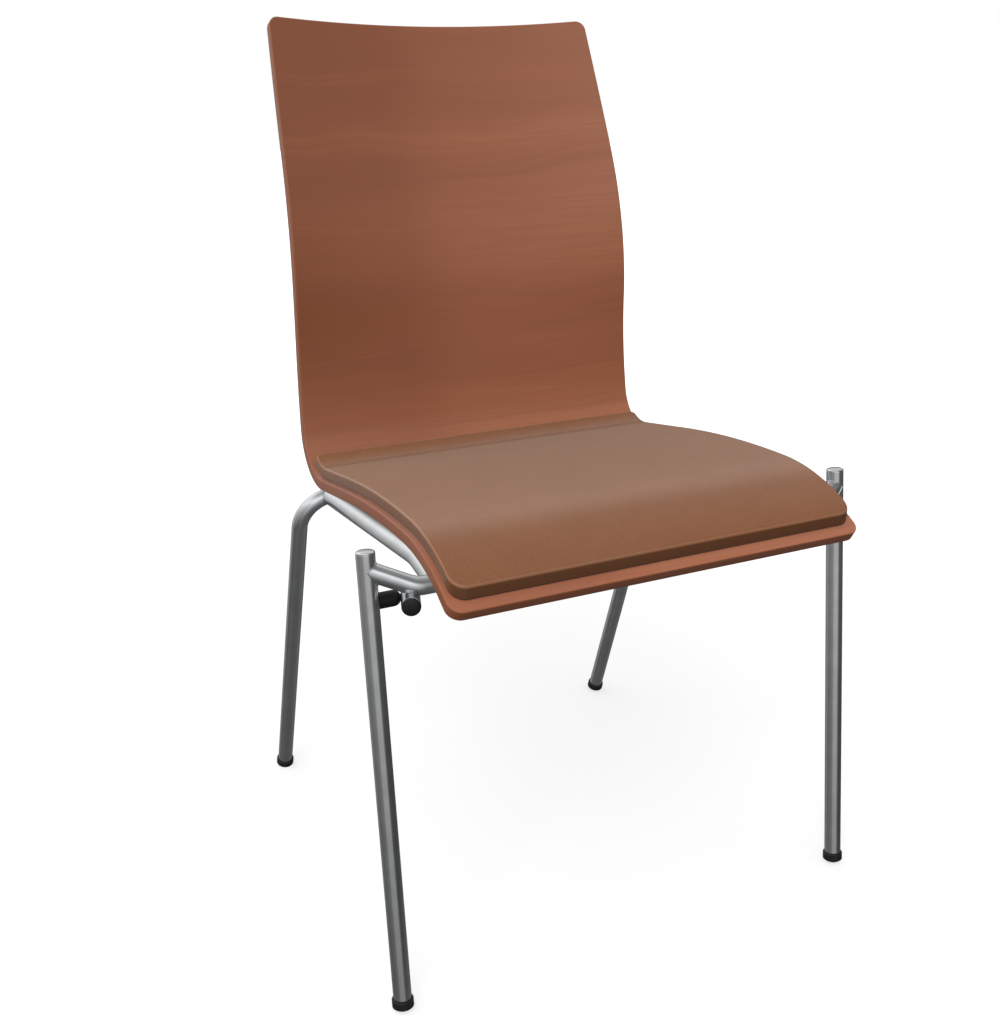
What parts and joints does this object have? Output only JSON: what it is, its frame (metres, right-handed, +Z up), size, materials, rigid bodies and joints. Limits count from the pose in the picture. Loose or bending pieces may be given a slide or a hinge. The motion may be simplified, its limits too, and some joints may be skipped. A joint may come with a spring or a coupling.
{
  "type": "choir chair",
  "caption": "Stacking chair with a bent plywood shell, a thin leather seat pad and a welded frame of chromed tube.",
  "frame": {"origin": "on the floor, under the middle of the chair's width and depth", "axes": "+Z up; the chair faces -Y; +X is on the right of someone who looks at its front"},
  "size_m": [0.5544, 0.5572, 0.9116],
  "materials": {
    "chrome": "polished chrome plate on steel tube",
    "satin_cap": "satin metallised plastic",
    "plywood": "stained beech veneer under satin lacquer",
    "leather": "fine-grained leather with a soft sheen",
    "foam": "open-cell foam",
    "board": "bare plywood",
    "black_plastic": "moulded, fine matt texture",
    "rubber": "matt",
    "zinc_steel": "zinc-plated steel"
  },
  "bodies": {
    "root": {"rear_leg_frame": "chrome", "front_cross_tube": "chrome", "front_leg_left": "chrome", "side_rail_left": "chrome", "stacking_rest_left": "chrome", "stacking_rest_front_plug_left": "black_plastic", "stacking_rest_rear_plug_left": "black_plastic", "stacking_peg_left": "black_plastic", "leg_cap_left": "satin_cap", "front_glide_left": "black_plastic", "rear_glide_left": "black_plastic", "stacking_peg_screw_left": "zinc_steel", "front_leg_right": "chrome", "side_rail_right": "chrome", "stacking_rest_right": "chrome", "stacking_rest_front_plug_right": "black_plastic", "stacking_rest_rear_plug_right": "black_plastic", "stacking_peg_right": "black_plastic", "leg_cap_right": "satin_cap", "front_glide_right": "black_plastic", "rear_glide_right": "black_plastic", "stacking_peg_screw_right": "zinc_steel", "plywood_shell": "plywood", "seat_pad_cover": "leather", "seat_pad_foam": "foam", "seat_pad_board": "board", "mount_plate_front_left": "chrome", "mount_washer_front_left": "rubber", "mount_screw_front_left": "zinc_steel", "insert_nut_front_left": "zinc_steel", "mount_plate_rear_left": "chrome", "mount_washer_rear_left": "rubber", "mount_screw_rear_left": "zinc_steel", "insert_nut_rear_left": "zinc_steel", "mount_plate_front_right": "chrome", "mount_washer_front_right": "rubber", "mount_screw_front_right": "zinc_steel", "insert_nut_front_right": "zinc_steel", "mount_plate_rear_right": "chrome", "mount_washer_rear_right": "rubber", "mount_screw_rear_right": "zinc_steel", "insert_nut_rear_right": "zinc_steel", "pad_screw_front_left": "zinc_steel", "pad_screw_rear_left": "zinc_steel", "pad_screw_front_right": "zinc_steel", "pad_screw_rear_right": "zinc_steel"}
  },
  "joints": []
}
